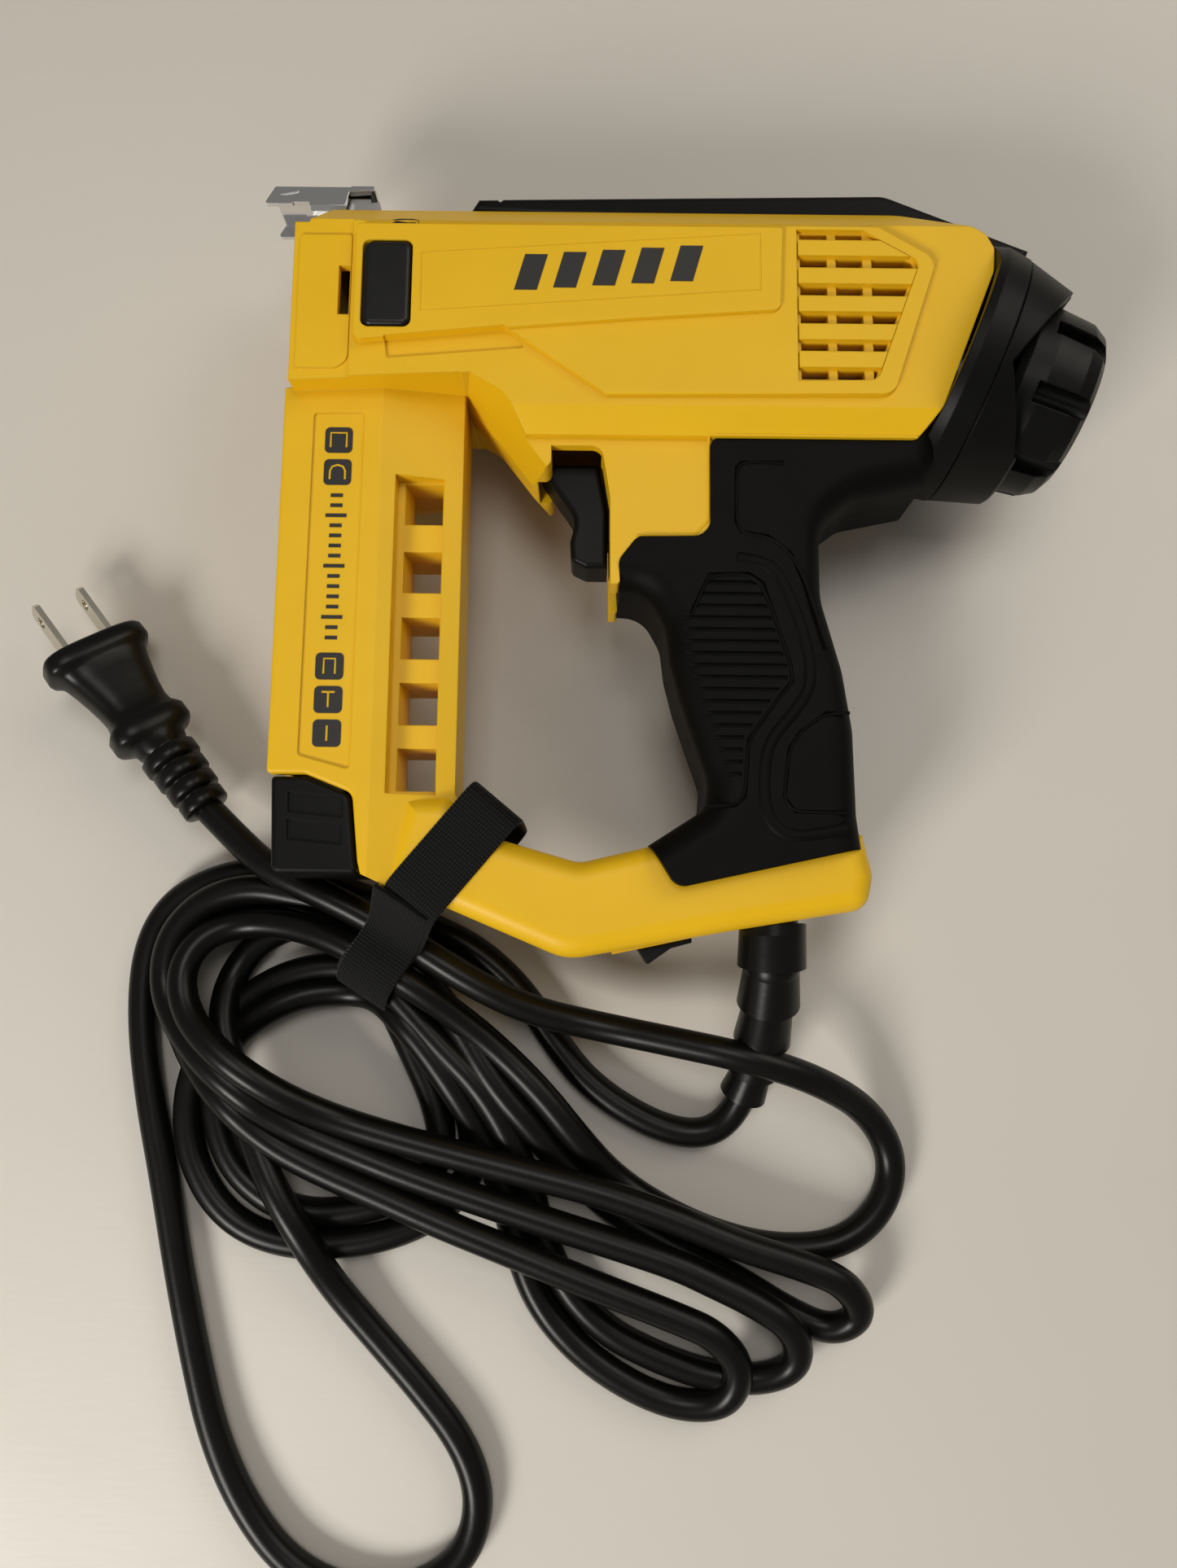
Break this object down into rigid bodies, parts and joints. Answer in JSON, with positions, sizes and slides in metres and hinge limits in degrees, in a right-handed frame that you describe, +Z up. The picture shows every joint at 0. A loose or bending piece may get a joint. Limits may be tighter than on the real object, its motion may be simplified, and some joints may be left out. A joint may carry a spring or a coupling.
{
  "type": "corded electric tacker",
  "caption": "Hand-held corded electric staple and brad gun with a trigger, power dial, pull-out magazine, strapped cord bundle and mains plug.",
  "frame": {"origin": "centre of the tool's bounding box, cord left out, on the surface it lies on", "axes": "+X from the staple exit to the power dial, +Y from the grip's heel to the front edge, +Z up through the tool's left side"},
  "size_m": [0.2854, 0.3631, 0.0658],
  "materials": {
    "yellow_shell": "fine spark-eroded grain",
    "grip_rubber": "matte moulded rubber",
    "black_plastic": "fine matte grain",
    "dial_plastic": "semi-gloss",
    "button_plastic": "polished",
    "zinc_steel": "zinc plated",
    "nose_chrome": "bright plated",
    "spring_steel": "oiled",
    "bobbin_nylon": "natural nylon",
    "copper_wire": "enamelled copper winding",
    "board_laminate": "solder resist",
    "cord_pvc": "smooth flexible PVC",
    "blade_nickel": "nickel plated brass",
    "strap_nylon": "woven hook and loop"
  },
  "bodies": {
    "root": {"left_housing": "yellow_shell", "right_housing": "yellow_shell", "left_grip": "grip_rubber", "right_grip": "grip_rubber", "rear_cover": "black_plastic", "dial_collar": "black_plastic", "potentiometer": "zinc_steel", "nose_plate": "nose_chrome", "nose_block": "zinc_steel", "nose_screws": "zinc_steel", "guide_pin": "zinc_steel", "staple_track": "zinc_steel", "staple_stick": "zinc_steel", "solenoid_yoke": "zinc_steel", "solenoid_bobbin": "bobbin_nylon", "solenoid_coil": "copper_wire", "return_spring": "spring_steel", "stop_bumper": "grip_rubber", "trigger_spring": "spring_steel", "trigger_switch": "black_plastic", "spring_seat": "bobbin_nylon", "rocker_pin": "zinc_steel", "rocker_switch": "black_plastic", "circuit_board": "board_laminate", "housing_screws": "zinc_steel", "strain_relief": "cord_pvc", "cord_lead": "cord_pvc", "cord_hank": "cord_pvc", "plug_lead": "cord_pvc", "plug_body": "cord_pvc", "plug_blades": "blade_nickel", "strap": "strap_nylon"},
    "dial": {"power_dial": "dial_plastic", "dial_shaft": "zinc_steel"},
    "driver": {"driver": "spring_steel", "plunger": "spring_steel"},
    "trigger": {"trigger": "button_plastic"},
    "rocker": {"power_rocker": "button_plastic"},
    "left_button": {"left_release_button": "button_plastic"},
    "right_button": {"right_release_button": "button_plastic"},
    "magazine": {"magazine_rail": "zinc_steel", "end_cap": "black_plastic", "pusher_spring": "spring_steel"},
    "pusher": {"pusher": "zinc_steel"}
  },
  "joints": [
    {"name": "dial_turn", "type": "hinge", "parent": "root", "child": "dial", "pos_m": [0.1014, 0.0426, 0.033], "axis": [0.9367, -0.3502, 0], "range_deg": [0, 270]},
    {"name": "driver_stroke", "type": "slide", "parent": "root", "child": "driver", "axis": [-1, 0, 0], "range_m": [0, 0.014], "stiffness_N_per_m": 400, "springref_m": -0.008, "deforming": ["return_spring"]},
    {"name": "trigger_pull", "type": "slide", "parent": "root", "child": "trigger", "axis": [1, 0, 0], "range_m": [0, 0.005], "stiffness_N_per_m": 800, "springref_m": -0.003, "deforming": ["trigger_spring"]},
    {"name": "rocker_tilt", "type": "hinge", "parent": "root", "child": "rocker", "pos_m": [-0.0042, -0.0946, 0.033], "axis": [0, 0, 1], "range_deg": [-10, 0]},
    {"name": "left_button_press", "type": "slide", "parent": "root", "child": "left_button", "axis": [0, 0, -1], "range_m": [0, 0.0015], "stiffness_N_per_m": 1500, "springref_m": -0.001},
    {"name": "right_button_press", "type": "slide", "parent": "root", "child": "right_button", "axis": [0, 0, 1], "range_m": [0, 0.0015], "stiffness_N_per_m": 1500, "springref_m": -0.001},
    {"name": "magazine_slide", "type": "slide", "parent": "root", "child": "magazine", "axis": [0, -1, 0], "range_m": [0, 0.105]},
    {"name": "pusher_slide", "type": "slide", "parent": "magazine", "child": "pusher", "axis": [0, -1, 0], "range_m": [0, 0.025], "stiffness_N_per_m": 60, "springref_m": -0.05, "deforming": ["pusher_spring"]}
  ]
}
